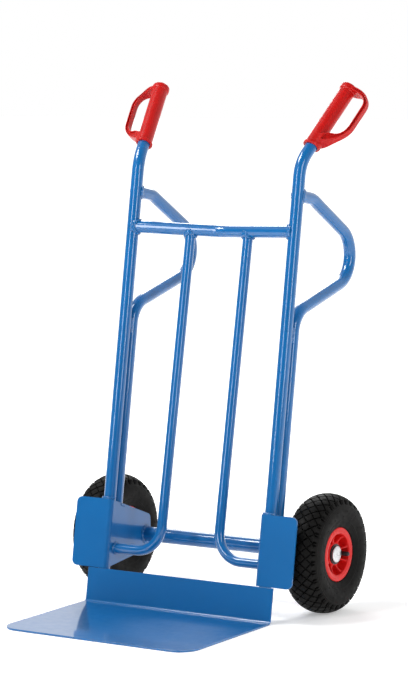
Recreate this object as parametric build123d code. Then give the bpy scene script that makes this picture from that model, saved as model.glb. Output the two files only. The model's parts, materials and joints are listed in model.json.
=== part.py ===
from build123d import *
import math
import os

# A two-wheeled hand truck of welded, powder-coated steel tube.
# Millimetres, +Z up, floor at Z = 0, toe plate towards -Y, seen from the toe plate side.
# Positions on the leaning frame are given as (x, s, n): s runs up along the side tubes from the
# floor, n is the distance behind the plane of the side tubes.

# ---- frame ----
LEAN = 10.0                 # degrees the side tubes lean back
HALF_SPAN = 210.0           # X of the side tubes
TUBE_R = 13.5               # side tubes, rear loops and crossbar
THIN_R = 11.0               # inner tubes
WALL = 2.0
SIDE_FOOT_S = 7.0           # lower end of the side tubes
BEND_S = 985.0              # corner of the handle bend
BEND_BACK = 33.4            # degrees the handle end tips back from the side tube
HANDLE_SPLAY = 9.8          # degrees the handle end tips outwards
HANDLE_LEN = 210.0          # tube beyond the bend's corner, under the grip
BEND_R = 90.0
SMALL_BEND_R = 60.0
CROSSBAR_S = 836.0
CROSSBAR_DIP = 46.0         # how far the middle of the crossbar is bent back
INNER_X = 75.0
INNER_TOP_N = 30.5
INNER_FOOT_N = 13.0
INNER_FOOT_S = 121.0

# ---- rear loops ----
LOOP_GAP = 0.2              # between a side tube and the rear tube beside it
LOOP_TOP_S = 914.5
LOOP_SHOULDER_N = 62.5
LOOP_CORNER_S = 807.0       # where the two slanting runs of the loop would meet
LOOP_CORNER_N = 347.5
LOOP_KNEE_S = 662.0
LOOP_R = 65.0
LOOP_FOOT_S = 196.0

# ---- sheet parts ----
SHEET = 4.0
SHEET_BEND_R = 6.0          # inside of each fold
FLANGE_X = 285.5            # outer edge of the bracket's front flange
FLANGE_S0 = 76.0
FLANGE_S1 = 229.0
CORNER_R = 13.0
PLATE_REAR_Y = 17.5         # rear edge of the side plates, behind the axle line
PLATE_REAR_Z0 = 97.0
PLATE_REAR_Z1 = 172.0
TOE_HALF_W = 240.0
TOE_DEPTH = 318.0
TOE_WEB_S = 75.0
TOE_CORNER_R = 45.0
TUBE_TO_AXLE = 155.0        # side tubes' axes at floor level are this far ahead of the axle

# ---- axle ----
AXLE_Z = 130.0
AXLE_TUBE_R = 16.85
AXLE_TUBE_BORE = 13.6
AXLE_TUBE_END = 224.0
STUB_R = 10.0
STUB_PLUG = 60.0            # length of the thick part inside the axle tube
STUB_END = 304.0

# ---- wheels ----
WHEEL_X = 276.0
TYRE_R = 130.0
TYRE_HALF_W = 42.5
BEAD_R = 51.0               # tyre seat on the rim
BEAD_X = 30.8               # outer face of the tyre's foot, against the rim flange
SHOULDER_R = 118.6          # edge of the tread
SHOULDER_X = 34.2
RIM_FLANGE_R = 58.5
RIM_HALF_W = 34.0
RIM_OPEN_R = 44.5
HUB_R = 24.5
HUB_X0 = 229.0
HUB_X1 = 299.0
RIB_COUNT = 9
RIB_PHASE = 92.5            # degrees round the axle, from the rear horizontal
BUSH_R = 15.0
BUSH_FLANGE_R = 21.8
BUSH_FLANGE_T = 3.0
RUNNING_CLEARANCE = 0.05
VALVE_R = 30.0              # distance of the valve's outer run from the axle line
VALVE_ANGLE = -6.0          # degrees round the axle, from the rear horizontal
VALVE_X = 12.0
VALVE_STEM_R = 3.6
VALVE_TIP_X = 30.0
VALVE_CAP_R = 5.0
VALVE_CAP_LEN = 11.5        # beyond the stem's tip
WELL_R = 48.0               # bottom of the rim's well
WEB_HALF_T = 3.0
RIB_HALF_T = 1.6
BUSH_LEN = 26.0
WASHER_T = 1.6
AXLE_CAP_R = 18.0
AXLE_CAP_T = 5.4

# ---- grips ----
GRIP_START = 47.0           # from the bend's corner
GRIP_LEN = 170.0
SLEEVE_R = 16.0
COLLAR_R = 18.8
GUARD_TILT = 7.0            # degrees the guard is turned back about the grip
GUARD_E = 66.5              # outside of the guard, from the grip's axis
GUARD_T = 9.3
GUARD_W = 13.8
GUARD_ARM_W = 31.0          # width of its arms where they meet the sleeve
GUARD_WALL = 2.5
GUARD_FOOT = 8.0            # where the guard's lower edge meets the grip's axis
GUARD_LOW = 47.0            # height of its lower outer corner
GUARD_HIGH = 165.0          # height of its upper outer corner
GUARD_TOP = 172.0           # where its upper edge meets the grip's axis
OPENING_FOOT = 31.0         # the same heights for the guard's opening
OPENING_LOW = 55.0
OPENING_HIGH = 156.0
OPENING_TOP = 158.0
GUARD_LOW_R = 52.0
GUARD_TOP_R = 40.0
ARM_END_E = 52.0            # where the arms have narrowed to the guard's width
CAP_LEN = 14.0
CAP_CROWN = 3.0             # height of the cap beyond the sleeve
CAP_EDGE_R = 4.0
COLLAR_LEN = 7.0
LIP_R = 1.5

BEAD = 4.0                  # leg of the weld beads

SIN = math.sin(math.radians(LEAN))
COS = math.cos(math.radians(LEAN))


def bisector_radius(corner_angle, radius):
    """Distance from a corner to the centre of the bend of this radius."""
    return radius / math.sin(corner_angle / 2)


# The part is centred in Y between the toe plate's front edge and the rear of the loops.
fold_y = -TUBE_TO_AXLE - (TUBE_R + SHEET) / COS
front_y = fold_y - TOE_DEPTH
run_down = Vector(LOOP_TOP_S - LOOP_CORNER_S, LOOP_SHOULDER_N - LOOP_CORNER_N, 0).normalized()
rear_n = TUBE_R * 2 + LOOP_GAP
run_up = Vector(LOOP_KNEE_S - LOOP_CORNER_S, rear_n - LOOP_CORNER_N, 0).normalized()
loop_angle = math.acos(run_down.dot(run_up))
loop_centre = (run_down + run_up).normalized() * bisector_radius(loop_angle, LOOP_R)
rear_y = ((LOOP_CORNER_S + loop_centre.X) * SIN + (LOOP_CORNER_N + loop_centre.Y) * COS
          - TUBE_TO_AXLE + LOOP_R + TUBE_R)
AXLE_Y = -(front_y + rear_y) / 2
BASE_Y = AXLE_Y - TUBE_TO_AXLE

AXLE = Vector(0, AXLE_Y, AXLE_Z)

def on_frame(x, s, n):
    """Point at x across, s up the lean and n behind the plane of the side tubes."""
    return Vector(x, BASE_Y + s * SIN + n * COS, s * COS - n * SIN)


def bent_path(points, radii):
    """Straight runs joined by tangent bends, one radius for each inner point."""
    edges = []
    start = points[0]
    for before, corner, after, radius in zip(points, points[1:], points[2:], radii):
        back = (before - corner).normalized()
        ahead = (after - corner).normalized()
        half = math.acos(back.dot(ahead)) / 2
        first = corner + back * (radius / math.tan(half))
        last = corner + ahead * (radius / math.tan(half))
        middle = corner + (back + ahead).normalized() * (radius / math.sin(half) - radius)
        edges.append(Line(start, first))
        edges.append(ThreePointArc(first, middle, last))
        start = last
    edges.append(Line(start, points[-1]))
    return Wire(edges)


def rod(points, radii, radius):
    """Solid round bar along a bent path."""
    path = bent_path(points, radii)
    section = Plane(origin=path @ 0, z_dir=path % 0) * Circle(radius)
    return sweep(section, path=path)


def tube(points, radii, radius, wall=WALL):
    """Round tube along a bent path, open at both ends."""
    return rod(points, radii, radius) - rod(points, radii, radius - wall)


def straight_rod(start, end, radius):
    axis = end - start
    return Plane(origin=start, z_dir=axis) * Cylinder(
        radius, axis.length, align=(Align.CENTER, Align.CENTER, Align.MIN))


def along_x(x0, x1, radius):
    """Cylinder on the axle line from x0 to x1."""
    return straight_rod(Vector(x0, AXLE_Y, AXLE_Z), Vector(x1, AXLE_Y, AXLE_Z), radius)


def rounded_face(points, radii):
    """Closed outline with the listed corner radii, 0 for a sharp corner."""
    face = make_face(Polyline(*points, close=True))
    for point, radius in zip(points, radii):
        if radius:
            face = fillet(face.vertices().sort_by_distance(Vector(*point))[0], radius)
    return face


def mirrored(shape):
    return mirror(shape, about=Plane.YZ)


def save(name, *solids):
    """Write one node. Several pieces in it stay separate solids."""
    pieces = []
    for shape in solids:
        pieces.extend(shape.solids())
    export_step(pieces[0] if len(pieces) == 1 else Compound(children=pieces), f"parts/{name}.step")


def save_pair(stem, *solids):
    """Write the right-hand node and its mirror image."""
    save(f"{stem}_right", *solids)
    save(f"{stem}_left", *[mirrored(shape) for shape in solids])


os.makedirs("parts", exist_ok=True)

# ---- side tubes, bent back and outwards at the handles ----
splay = math.sin(math.radians(HANDLE_SPLAY))
upright = math.cos(math.radians(HANDLE_SPLAY))
back = math.radians(LEAN + BEND_BACK)
handle_dir = Vector(splay, upright * math.sin(back), upright * math.cos(back))
bend = on_frame(HALF_SPAN, BEND_S, 0)
side_points = [on_frame(HALF_SPAN, SIDE_FOOT_S, 0), bend, bend + handle_dir * HANDLE_LEN]
side_outer = rod(side_points, [BEND_R], TUBE_R)
side_tube = side_outer - rod(side_points, [BEND_R], TUBE_R - WALL)
save_pair("side_tube", side_tube)

# ---- rear loops: stub, two slanting runs round one big bend, then down beside the side tube ----
loop_points = [
    on_frame(HALF_SPAN, LOOP_TOP_S, 0),
    on_frame(HALF_SPAN, LOOP_TOP_S, LOOP_SHOULDER_N),
    on_frame(HALF_SPAN, LOOP_CORNER_S, LOOP_CORNER_N),
    on_frame(HALF_SPAN, LOOP_KNEE_S, rear_n),
    on_frame(HALF_SPAN, LOOP_FOOT_S, rear_n),
]
loop_radii = [SMALL_BEND_R, LOOP_R, SMALL_BEND_R]
rear_loop = tube(loop_points, loop_radii, TUBE_R) - side_outer
rear_loop = rear_loop.solids().sort_by(SortBy.VOLUME)[-1]
save_pair("rear_loop", rear_loop)

# ---- crossbar, bent back in the middle, its ends coped round the side tubes ----
crossbar_points = [
    on_frame(-HALF_SPAN, CROSSBAR_S, 0),
    on_frame(0, CROSSBAR_S, CROSSBAR_DIP),
    on_frame(HALF_SPAN, CROSSBAR_S, 0),
]
crossbar_outer = rod(crossbar_points, [BEND_R], TUBE_R)
crossbar = crossbar_outer - rod(crossbar_points, [BEND_R], TUBE_R - WALL)
crossbar = crossbar - side_outer - mirrored(side_outer)
crossbar = crossbar.solids().sort_by(SortBy.VOLUME)[-1]
save("crossbar", crossbar)

# ---- inner tubes: from the crossbar down, then bent outwards to the side brackets ----
PLATE_X = HALF_SPAN - TUBE_R            # outer face of each side plate, against the side tube
PLATE_IN_X = PLATE_X - SHEET
crossbar_n = CROSSBAR_DIP * (1 - INNER_X / HALF_SPAN)
inner_points = [
    on_frame(INNER_X, CROSSBAR_S, crossbar_n),
    on_frame(INNER_X, INNER_FOOT_S, INNER_FOOT_N),
    on_frame(PLATE_IN_X, INNER_FOOT_S, INNER_FOOT_N),
]
inner_tube = tube(inner_points, [SMALL_BEND_R], THIN_R) - crossbar_outer
inner_tube = inner_tube.solids().sort_by(SortBy.VOLUME)[-1]
save_pair("inner_tube", inner_tube)

# ---- axle tube and the turned stubs fixed in its ends ----
axle_tube = along_x(-AXLE_TUBE_END, AXLE_TUBE_END, AXLE_TUBE_R)
axle_tube -= along_x(-AXLE_TUBE_END, AXLE_TUBE_END, AXLE_TUBE_BORE)
save("axle_tube", axle_tube)

stub = along_x(AXLE_TUBE_END - STUB_PLUG, AXLE_TUBE_END, AXLE_TUBE_BORE)
stub += along_x(AXLE_TUBE_END, STUB_END, STUB_R)
stub = chamfer(stub.edges().group_by(Axis.X)[-1], 1.5)
stub = chamfer(stub.edges().group_by(Axis.X)[0], 1.5)
save_pair("stub_axle", stub)

# ---- side brackets: a flange before the tube and a side plate back to the axle tube ----
flange_n = -TUBE_R
plate_reach = 200.0
# The section of the folded sheet is drawn on a plane square to the side tubes.
across = Plane(origin=on_frame(0, 0, 0), x_dir=(1, 0, 0), z_dir=(0, SIN, COS))
behind_plane = -1 if across.y_dir.Y < 0 else 1
angle_points = [
    (FLANGE_X, flange_n), (FLANGE_X, flange_n - SHEET), (PLATE_IN_X, flange_n - SHEET),
    (PLATE_IN_X, plate_reach), (PLATE_X, plate_reach), (PLATE_X, flange_n),
]
angle_section = rounded_face(
    [(x, n * behind_plane) for x, n in angle_points],
    [0, 0, SHEET_BEND_R + SHEET, 0, 0, SHEET_BEND_R])
angle_bar = extrude(across * angle_section, 2 * FLANGE_S1, dir=(0, SIN, COS))

# Outline of the flange, seen square on, cut through the sheet's thickness.
flange_plane = Plane(origin=on_frame(0, 0, flange_n), x_dir=(1, 0, 0), z_dir=(0, -COS, SIN))
flange_outline = rounded_face(
    [(PLATE_IN_X, FLANGE_S0), (FLANGE_X, FLANGE_S0), (FLANGE_X, FLANGE_S1),
     (PLATE_IN_X, FLANGE_S1)],
    [0, CORNER_R, CORNER_R, 0])
flange_zone = extrude(flange_plane * flange_outline, SHEET)

# Outline of the side plate, seen from the side.
plate_rear_y = AXLE_Y + PLATE_REAR_Y
low = on_frame(0, FLANGE_S0, flange_n - SHEET)
high = on_frame(0, FLANGE_S1, flange_n - SHEET)
plate_outline = rounded_face(
    [(low.Y, low.Z), (high.Y, high.Z), (plate_rear_y, PLATE_REAR_Z1),
     (plate_rear_y, PLATE_REAR_Z0)],
    [0, 0, CORNER_R, CORNER_R])
fold_strip = SHEET + SHEET_BEND_R
plate_zone = extrude(Plane(origin=(PLATE_IN_X, 0, 0), x_dir=(0, 1, 0), z_dir=(1, 0, 0))
                     * plate_outline, fold_strip)
side_bracket = angle_bar & (flange_zone + plate_zone)
side_bracket -= along_x(0, AXLE_TUBE_END, AXLE_TUBE_R)
side_bracket = side_bracket.solids().sort_by(SortBy.VOLUME)[-1]
save_pair("side_bracket", side_bracket)

# ---- toe plate: a sheet folded up in front of the side tubes ----
FOLD_Y = BASE_Y - (TUBE_R + SHEET) / COS      # front of the web, carried down to the floor
web_front = on_frame(0, TOE_WEB_S, flange_n - SHEET)
web_back = on_frame(0, TOE_WEB_S, flange_n)
toe_points = [
    (FOLD_Y - TOE_DEPTH, 0), (FOLD_Y - TOE_DEPTH, SHEET), (FOLD_Y + SHEET * SIN / COS, SHEET),
    (web_front.Y, web_front.Z), (web_back.Y, web_back.Z), (BASE_Y - TUBE_R / COS, 0),
]
toe_section = rounded_face(toe_points, [0, 0, SHEET_BEND_R, 0, 0, SHEET_BEND_R + SHEET])
toe_plate = extrude(Plane(origin=(-TOE_HALF_W, 0, 0), x_dir=(0, 1, 0), z_dir=(1, 0, 0))
                    * toe_section, 2 * TOE_HALF_W)
front_corners = toe_plate.edges().filter_by(Axis.Z).group_by(Axis.Y)[0]
toe_plate = fillet(front_corners, TOE_CORNER_R)
save("toe_plate", toe_plate)

# ---- grips: a sleeve with a cap and a collar, and a channelled guard on the outer side ----
cross_dir = (Vector(1, 0, 0) - handle_dir * handle_dir.X).normalized()
behind = cross_dir.cross(handle_dir).normalized()
if behind.Y < 0:
    behind = behind * -1
tilt = math.radians(GUARD_TILT)
guard_dir = cross_dir * math.cos(tilt) + behind * math.sin(tilt)
grip_foot = bend + handle_dir * GRIP_START
grip_plane = Plane(origin=grip_foot, x_dir=guard_dir, z_dir=handle_dir)
# On the guard's own plane X runs outwards and Y up along the grip.
guard_plane = Plane(origin=grip_foot, x_dir=guard_dir, z_dir=guard_dir.cross(handle_dir))


def guard_face(inset):
    """Band between the guard's outer and inner edges, narrowed by inset on each side."""
    outer_e = GUARD_E - inset
    inner_e = GUARD_E - GUARD_T + inset
    outer = rounded_face(
        [(0, GUARD_FOOT + inset), (outer_e, GUARD_LOW + inset),
         (outer_e, GUARD_HIGH - inset), (0, GUARD_TOP - inset)],
        [0, GUARD_LOW_R - inset, GUARD_TOP_R - inset, 0])
    inner = rounded_face(
        [(0, OPENING_FOOT - inset), (inner_e, OPENING_LOW - inset),
         (inner_e, OPENING_HIGH + inset), (0, OPENING_TOP + inset)],
        [0, GUARD_LOW_R - GUARD_T + inset, GUARD_TOP_R - GUARD_T + inset, 0])
    return outer - inner


band = extrude(guard_plane * guard_face(0), GUARD_ARM_W / 2, both=True)
# Seen along the grip, the arms taper from the sleeve to the guard's outer run.
half_arm = GUARD_ARM_W / 2
half_run = GUARD_W / 2
far_e = 2 * GUARD_E
taper = make_face(Polyline(
    (0, half_arm), (SLEEVE_R, half_arm), (ARM_END_E, half_run), (far_e, half_run),
    (far_e, -half_run), (ARM_END_E, -half_run), (SLEEVE_R, -half_arm), (0, -half_arm),
    close=True))
band &= extrude(grip_plane * taper, 2 * GRIP_LEN)
groove = extrude(guard_plane * guard_face(GUARD_WALL), GUARD_ARM_W, both=True)
groove -= extrude(guard_plane * guard_face(0), GUARD_WALL / 2, both=True)
band -= groove


def on_grip(z0, z1, radius):
    """Round length of the grip between two distances from its foot."""
    return grip_plane * Pos(0, 0, z0) * Cylinder(
        radius, z1 - z0, align=(Align.CENTER, Align.CENTER, Align.MIN))


grip_axis = Axis(grip_foot, handle_dir)
cap = on_grip(GRIP_LEN + CAP_CROWN - CAP_LEN, GRIP_LEN + CAP_CROWN, COLLAR_R)
cap = fillet(cap.edges().group_by(grip_axis)[-1], CAP_EDGE_R)
cap = fillet(cap.edges().group_by(grip_axis)[0], LIP_R)
collar = on_grip(0, COLLAR_LEN, COLLAR_R)
collar = fillet(collar.edges().group_by(grip_axis)[-1], LIP_R)
grip = on_grip(0, GRIP_LEN, SLEEVE_R) + band + collar + cap
grip -= on_grip(-1, HANDLE_LEN - GRIP_START, TUBE_R)
grip = grip.solids().sort_by(SortBy.VOLUME)[-1]
save_pair("grip", grip)

# ---- wheels ----
WHEEL_PLANE = Plane(origin=(WHEEL_X, AXLE_Y, AXLE_Z), x_dir=(0, 0, 1), z_dir=(0, 1, 0))
WHEEL_AXIS = Axis((WHEEL_X, AXLE_Y, AXLE_Z), (1, 0, 0))


def ring(face):
    """Turn a section drawn as (radius, distance outwards from the wheel's middle)."""
    return revolve(WHEEL_PLANE * face, axis=WHEEL_AXIS)


def both_sides(half):
    """Full section from one side's points, listed towards the middle."""
    return half + [(r, -x) for r, x in reversed(half)]


BEAD_TOP_R = RIM_FLANGE_R + 0.7
crown = [(TYRE_R, 0)]
tyre_half = [
    (BEAD_TOP_R, BEAD_X), (BEAD_TOP_R + 5, 35.2), (80, 41.4), (92, TYRE_HALF_W), (105, 40),
    (113, 37.4), (SHOULDER_R, SHOULDER_X), (125, 24), (TYRE_R - 1.1, 12)]
tyre_outer = tyre_half + crown + [(r, -x) for r, x in reversed(tyre_half)]
tyre_inner = both_sides([
    (BEAD_R + 5, 20), (BEAD_R + 13, 29), (82, 35), (97, 35.5), (108, 33), (116.5, 24), (121, 10)])
tyre_edge = Spline(*tyre_outer)
cavity_edge = Spline(*tyre_inner)


def bead(side):
    """Foot of the tyre on the rim at one side."""
    return Polyline((BEAD_TOP_R, BEAD_X * side), (BEAD_R, BEAD_X * side), (BEAD_R, 20 * side),
                    (BEAD_R + 5, 20 * side))


tyre_face = make_face(tyre_edge.edges() + cavity_edge.edges() + bead(1).edges()
                      + bead(-1).edges())
tyre = ring(tyre_face)
save_pair("tyre", tyre)

# The air tube fills the tyre from the rim's well to the tread.
air_outer = rounded_face(
    [(48.2, -17), (57, -19.6), (83, -34), (96, -34.6), (106, -32), (119.4, -12), (119.4, 12),
     (106, 32), (96, 34.6), (83, 34), (57, 19.6), (48.2, 17)],
    [4, 6, 8, 8, 10, 14, 14, 10, 8, 8, 6, 4])
air_inner = rounded_face(
    [(50.2, -15.5), (58, -17.6), (84, -32), (96, -32.6), (105, -30.3), (117.4, -11),
     (117.4, 11), (105, 30.3), (96, 32.6), (84, 32), (58, 17.6), (50.2, 15.5)],
    [2, 6, 8, 8, 8, 12, 12, 8, 8, 8, 6, 2])
air_tube = ring(air_outer - air_inner)
save_pair("air_tube", air_tube)

# Rim: a barrel with a flange each side, a middle web, a hub and ribs on both faces.
barrel = rounded_face(
    both_sides([(RIM_OPEN_R, RIM_HALF_W - 1.5), (RIM_FLANGE_R, RIM_HALF_W),
                (RIM_FLANGE_R, 31), (BEAD_R, 31), (BEAD_R, 19.5), (WELL_R, 17.5)]),
    [2.5, 1.8, 0, 0, 0, 1, 1, 0, 0, 0, 1.8, 2.5])
rim = ring(barrel)
rim += ring(make_face(Polyline(
    (HUB_R - 1, -WEB_HALF_T), (HUB_R - 1, WEB_HALF_T), (RIM_OPEN_R + 1, WEB_HALF_T),
    (RIM_OPEN_R + 1, -WEB_HALF_T), close=True)))
rim += along_x(HUB_X0, HUB_X1, HUB_R)
rib_outer = [(HUB_R - 2, 0), (HUB_R - 2, 21.5), (33, 21), (RIM_OPEN_R - 3, 28),
             (RIM_OPEN_R + 1, 31), (RIM_OPEN_R + 1, 0)]
rib_inner = [(r, -x) for r, x in rib_outer]
for k in range(RIB_COUNT):
    angle = RIB_PHASE + k * 360 / RIB_COUNT
    for outline in (rib_outer, rib_inner):
        rib_face = WHEEL_PLANE * make_face(Polyline(*outline, close=True))
        rib = extrude(rib_face, RIB_HALF_T, both=True)
        rim += rib.rotate(WHEEL_AXIS, angle - 90)
rim -= along_x(HUB_X0 - 1, HUB_X1 + 1, BUSH_R)

# Valve: out of the air tube through the barrel, then turned outwards beside the hub.
valve_hub = Vector(WHEEL_X, AXLE_Y, AXLE_Z)
valve_dir = Vector(0, math.cos(math.radians(VALVE_ANGLE)), math.sin(math.radians(VALVE_ANGLE)))
valve_root = valve_hub + valve_dir * WELL_R + Vector(VALVE_X, 0, 0)
valve_elbow = valve_hub + valve_dir * VALVE_R + Vector(VALVE_X, 0, 0)
valve_end = valve_hub + valve_dir * VALVE_R + Vector(VALVE_TIP_X, 0, 0)
valve = rod([valve_root, valve_elbow, valve_end], [7], VALVE_STEM_R)
rim -= straight_rod(valve_root, valve_elbow, VALVE_STEM_R + 0.4)
valve_cap = straight_rod(valve_end - Vector(4, 0, 0), valve_end + Vector(VALVE_CAP_LEN, 0, 0),
                         VALVE_CAP_R)
valve_cap = fillet(valve_cap.edges().group_by(Axis.X)[-1], 1.2)
valve_cap -= straight_rod(valve_end - Vector(5, 0, 0), valve_end, VALVE_STEM_R)
save_pair("rim", rim)
save_pair("valve", valve)
save_pair("valve_cap", valve_cap)

# Flanged bushes in both ends of the hub, running on the stub axle.
bush = along_x(HUB_X1 - BUSH_LEN, HUB_X1, BUSH_R)
bush += along_x(HUB_X1, HUB_X1 + BUSH_FLANGE_T, BUSH_FLANGE_R)
bush -= along_x(HUB_X1 - BUSH_LEN - 1, HUB_X1 + BUSH_FLANGE_T + 1, STUB_R + RUNNING_CLEARANCE)
hub_middle = (HUB_X0 + HUB_X1) / 2
inner_bush = mirror(bush, about=Plane(origin=(hub_middle, 0, 0), z_dir=(1, 0, 0)))
save_pair("bush_outer", bush)
save_pair("bush_inner", inner_bush)

# Spacer washers inboard and push-on caps outboard, both fixed to the axle.
washer = along_x(AXLE_TUBE_END, AXLE_TUBE_END + WASHER_T, BUSH_FLANGE_R - 2)
washer -= along_x(AXLE_TUBE_END - 1, AXLE_TUBE_END + WASHER_T + 1, STUB_R)
save_pair("washer", washer)
CAP_X = HUB_X1 + BUSH_FLANGE_T + 0.4 - WHEEL_X
cap_points = [(STUB_R, CAP_X), (AXLE_CAP_R, CAP_X), (AXLE_CAP_R, CAP_X + AXLE_CAP_T / 2),
              (AXLE_CAP_R - 2.5, CAP_X + AXLE_CAP_T - 0.8), (AXLE_CAP_R / 3, CAP_X + AXLE_CAP_T),
              (0, CAP_X + AXLE_CAP_T), (0, STUB_END + 0.2 - WHEEL_X),
              (STUB_R, STUB_END + 0.2 - WHEEL_X)]
axle_cap = ring(rounded_face(cap_points, [0, 0.4, 1, 2, 0, 0, 0, 0]))
save_pair("axle_cap", axle_cap)

# ---- weld beads ----
end_run = [on_frame(INNER_X, CROSSBAR_S, crossbar_n), on_frame(HALF_SPAN, CROSSBAR_S, 0)]
side_run = [on_frame(HALF_SPAN, 600, 0), on_frame(HALF_SPAN, 950, 0)]


def branch_weld(start, end, radius, main_start, main_end):
    """Bead round a straight branch where it meets a straight main tube."""
    bead_ring = straight_rod(start, end, radius + BEAD)
    bead_ring &= straight_rod(main_start, main_end, TUBE_R + BEAD)
    bead_ring -= straight_rod(start, end + (end - start), radius)
    bead_ring -= straight_rod(main_start, main_end, TUBE_R)
    return bead_ring.solids().sort_by(SortBy.VOLUME)[-1]


crossbar_bead = branch_weld(end_run[0], end_run[1], TUBE_R, side_run[0], side_run[1])
save("weld_crossbar_ends", crossbar_bead, mirrored(crossbar_bead))
loop_bead = branch_weld(loop_points[1], loop_points[0], TUBE_R, side_run[0], side_run[1])
save("weld_loop_tops", loop_bead, mirrored(loop_bead))
inner_run = (inner_points[1] - inner_points[0]).normalized()
inner_bead = branch_weld(inner_points[0] + inner_run * 4 * TUBE_R, inner_points[0], THIN_R,
                         end_run[0] + (end_run[0] - end_run[1]) * 0.3, end_run[1])
save("weld_inner_tops", inner_bead, mirrored(inner_bead))


def plate_weld(centre, radius):
    """Ring bead on the inner face of a side plate."""
    base = Plane(origin=(PLATE_IN_X, centre.Y, centre.Z), z_dir=(-1, 0, 0))
    bead_ring = base * Cone(radius + BEAD, radius + 0.6, BEAD,
                            align=(Align.CENTER, Align.CENTER, Align.MIN))
    inside = base * Cylinder(radius, BEAD * 3)
    return bead_ring - inside


foot_bead = plate_weld(inner_points[2], THIN_R)
save("weld_inner_feet", foot_bead, mirrored(foot_bead))
axle_bead = plate_weld(AXLE, AXLE_TUBE_R)
save("weld_axle_tube", axle_bead, mirrored(axle_bead))

# Bead on the flange's top edge round the front of the side tube.
top_ring = straight_rod(on_frame(HALF_SPAN, FLANGE_S1, 0), on_frame(HALF_SPAN, FLANGE_S1 + BEAD, 0),
                        TUBE_R + BEAD)
top_ring -= side_outer
keep = Plane(origin=on_frame(HALF_SPAN, FLANGE_S1, -TUBE_R), x_dir=(1, 0, 0),
             z_dir=(0, SIN, COS)) * Box(4 * TUBE_R, 2 * SHEET + TUBE_R, 4 * BEAD)
top_bead = (top_ring & keep).solids().sort_by(SortBy.VOLUME)[-1]
save("weld_bracket_tops", top_bead, mirrored(top_bead))


def seam(s0, s1, side, n, outset):
    """Run of bead along a side tube, in the corner beside it."""
    run = straight_rod(on_frame(HALF_SPAN + side * outset, s0, n),
                       on_frame(HALF_SPAN + side * outset, s1, n), BEAD)
    return run - side_outer


loop_seams = []
toe_seams = []
for side in (-1, 1):
    run = seam(LOOP_KNEE_S - 62, LOOP_KNEE_S - 30, side, rear_n / 2, 7.5) - rear_loop
    run -= rod(loop_points, loop_radii, TUBE_R)
    loop_seams.append(run.solids().sort_by(SortBy.VOLUME)[-1])
    run = seam(16, TOE_WEB_S - 3, side, -TUBE_R + 1.5, 9.0) - toe_plate
    toe_seams.append(run.solids().sort_by(SortBy.VOLUME)[-1])
save("weld_loop_seams", *loop_seams, *[mirrored(run) for run in loop_seams])
save("weld_toe_plate", *toe_seams, *[mirrored(run) for run in toe_seams])

# Short bead where the rear tube passes the top edge of the side plate.
edge_s = FLANGE_S1 - 12
foot = straight_rod(on_frame(PLATE_X - SHEET / 2, edge_s + 2, rear_n - 8),
                    on_frame(PLATE_X - SHEET / 2, edge_s - 2, rear_n + 8), BEAD - 0.5)
foot = foot - rod(loop_points, loop_radii, TUBE_R) - side_bracket
foot = foot.solids().sort_by(SortBy.VOLUME)[-1]
save("weld_loop_feet", foot, mirrored(foot))
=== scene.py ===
import itertools
import json
import math

import bmesh
import bpy
import numpy as np
from mathutils import Matrix, Vector, noise


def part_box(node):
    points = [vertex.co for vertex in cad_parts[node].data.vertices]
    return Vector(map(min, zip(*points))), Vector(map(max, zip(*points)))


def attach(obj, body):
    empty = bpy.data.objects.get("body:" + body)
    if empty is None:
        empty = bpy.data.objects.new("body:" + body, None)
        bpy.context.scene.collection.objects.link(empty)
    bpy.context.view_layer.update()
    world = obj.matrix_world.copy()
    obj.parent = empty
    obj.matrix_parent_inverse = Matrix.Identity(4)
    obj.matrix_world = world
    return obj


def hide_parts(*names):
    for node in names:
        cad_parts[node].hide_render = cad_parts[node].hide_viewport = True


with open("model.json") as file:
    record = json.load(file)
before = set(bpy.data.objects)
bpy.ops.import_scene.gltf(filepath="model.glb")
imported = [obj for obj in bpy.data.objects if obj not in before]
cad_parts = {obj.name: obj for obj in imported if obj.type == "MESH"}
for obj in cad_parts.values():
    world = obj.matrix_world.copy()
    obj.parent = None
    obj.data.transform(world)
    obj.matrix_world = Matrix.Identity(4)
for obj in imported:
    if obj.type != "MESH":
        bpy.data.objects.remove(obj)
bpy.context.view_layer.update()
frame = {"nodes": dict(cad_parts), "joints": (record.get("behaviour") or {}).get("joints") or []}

# A welded hand truck: CAD tubes, axle, bushes and valves with new materials, and Blender pieces for
# the tyres, rims, grips, sheet parts, weld beads, dust caps and axle caps. Shapes are worked out in
# millimetres for the right-hand side (+X), then placed in metres and mirrored for the left.

MM = 0.001
SIDES = {"right": 1, "left": -1}


# ---- camera ----
CAMERA_PLACE = (3.228, -4.861, 1.240)
CAMERA_TURN = (33.168, 6.558, -0.637)    # yaw, pitch down and roll, in degrees
CAMERA_LENS = 140.0
CAMERA_SENSOR = 36.0
CAMERA_REACH = 60.0


def make_camera():
    """A little above the handles, to the right of the toe plate, through a long lens."""
    yaw, pitch, roll = (math.radians(angle) for angle in CAMERA_TURN)
    forward = Vector((-math.sin(yaw) * math.cos(pitch), math.cos(yaw) * math.cos(pitch),
                      -math.sin(pitch)))
    level = Vector((math.cos(yaw), math.sin(yaw), 0))
    upright = level.cross(forward)
    right = level * math.cos(roll) + upright * math.sin(roll)
    up = upright * math.cos(roll) - level * math.sin(roll)
    camera = bpy.data.objects.new("camera", bpy.data.cameras.new("camera"))
    camera.data.lens = CAMERA_LENS
    camera.data.sensor_width = CAMERA_SENSOR
    camera.data.clip_end = CAMERA_REACH
    turn = Matrix((right, up, -forward)).transposed().to_4x4()
    camera.matrix_world = Matrix.Translation(CAMERA_PLACE) @ turn
    bpy.context.scene.collection.objects.link(camera)
    bpy.context.scene.camera = camera


make_camera()


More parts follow.
